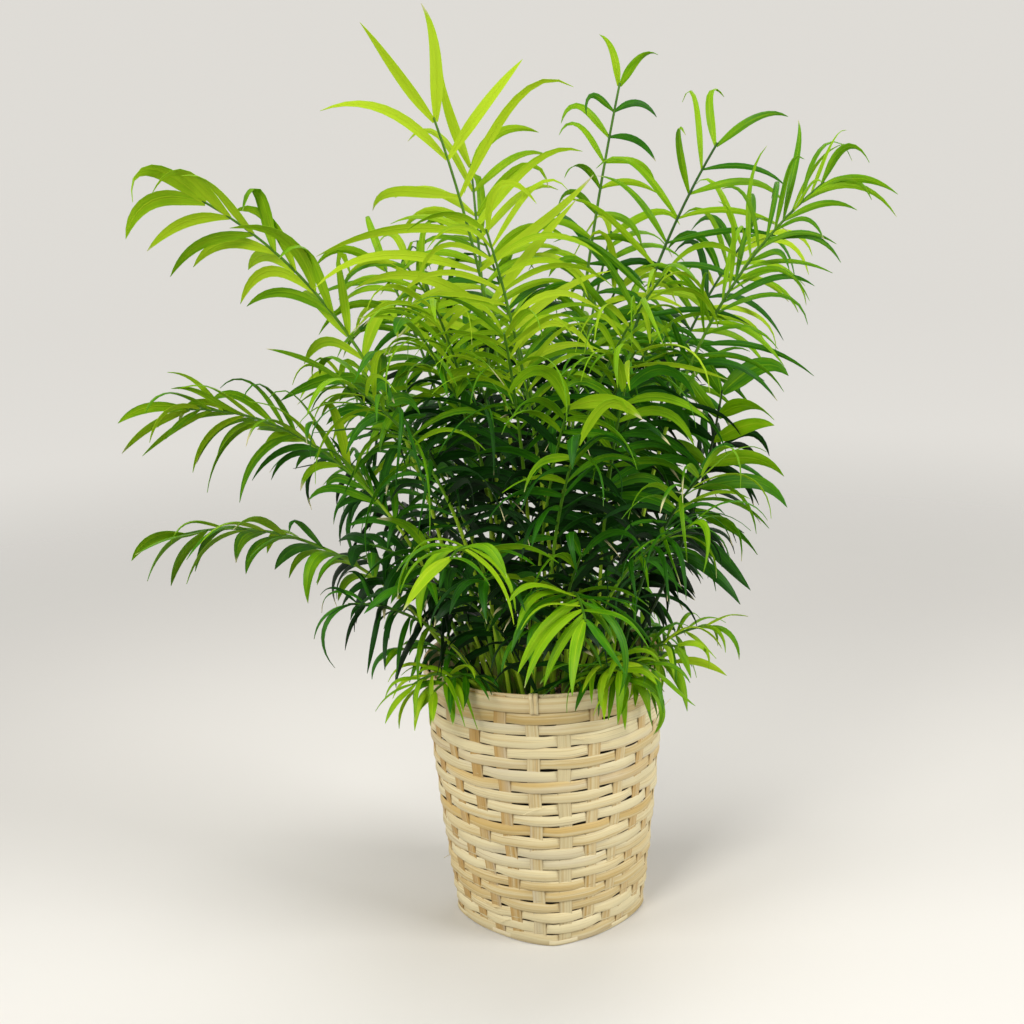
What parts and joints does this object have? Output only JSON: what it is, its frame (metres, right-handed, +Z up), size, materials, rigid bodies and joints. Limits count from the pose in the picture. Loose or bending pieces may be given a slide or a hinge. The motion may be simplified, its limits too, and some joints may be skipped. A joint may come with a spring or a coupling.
{
  "type": "potted palm",
  "caption": "Feathery parlour palm growing from a nursery pot that stands in a tapered, woven split-bamboo basket with a hooped rim.",
  "frame": {"origin": "middle of the basket's underside, where it stands on the table", "axes": "+Z up; -Y is the plant's front, with one rounded corner of the basket's base and one of its rim ties towards it"},
  "size_m": [0.5191, 0.4458, 0.6468],
  "materials": {
    "bamboo_weave": "matt split bamboo",
    "bamboo_rim": "satin split bamboo",
    "black_plastic": "matt",
    "earth": "rough",
    "cane_green": "satin",
    "leaf_green": "soft gloss"
  },
  "bodies": {
    "root": {"basket_base": "bamboo_weave", "basket_wall": "bamboo_weave", "rim_outer_hoop": "bamboo_rim", "rim_inner_hoop": "bamboo_rim", "rim_tie_front": "bamboo_rim", "rim_tie_left": "bamboo_rim", "rim_tie_right": "bamboo_rim", "nursery_pot": "black_plastic", "potting_soil": "earth", "cane_01": "cane_green", "cane_02": "cane_green", "cane_03": "cane_green", "cane_04": "cane_green", "cane_05": "cane_green", "cane_06": "cane_green", "cane_07": "cane_green", "cane_08": "cane_green", "cane_09": "cane_green", "cane_10": "cane_green", "frond_01": "leaf_green", "frond_02": "leaf_green", "frond_03": "leaf_green", "frond_04": "leaf_green", "frond_05": "leaf_green", "frond_06": "leaf_green", "frond_07": "leaf_green", "frond_08": "leaf_green", "frond_09": "leaf_green", "frond_10": "leaf_green", "frond_11": "leaf_green", "frond_12": "leaf_green", "frond_13": "leaf_green", "frond_14": "leaf_green", "frond_15": "leaf_green", "frond_16": "leaf_green", "frond_17": "leaf_green", "frond_18": "leaf_green", "frond_19": "leaf_green", "frond_20": "leaf_green", "frond_21": "leaf_green", "frond_22": "leaf_green", "frond_23": "leaf_green", "frond_24": "leaf_green", "frond_25": "leaf_green", "frond_26": "leaf_green", "frond_27": "leaf_green", "frond_28": "leaf_green", "frond_29": "leaf_green", "frond_30": "leaf_green", "frond_31": "leaf_green", "frond_32": "leaf_green", "frond_33": "leaf_green", "frond_34": "leaf_green", "frond_35": "leaf_green", "frond_36": "leaf_green", "frond_37": "leaf_green", "frond_38": "leaf_green", "frond_39": "leaf_green", "frond_40": "leaf_green"}
  },
  "joints": []
}
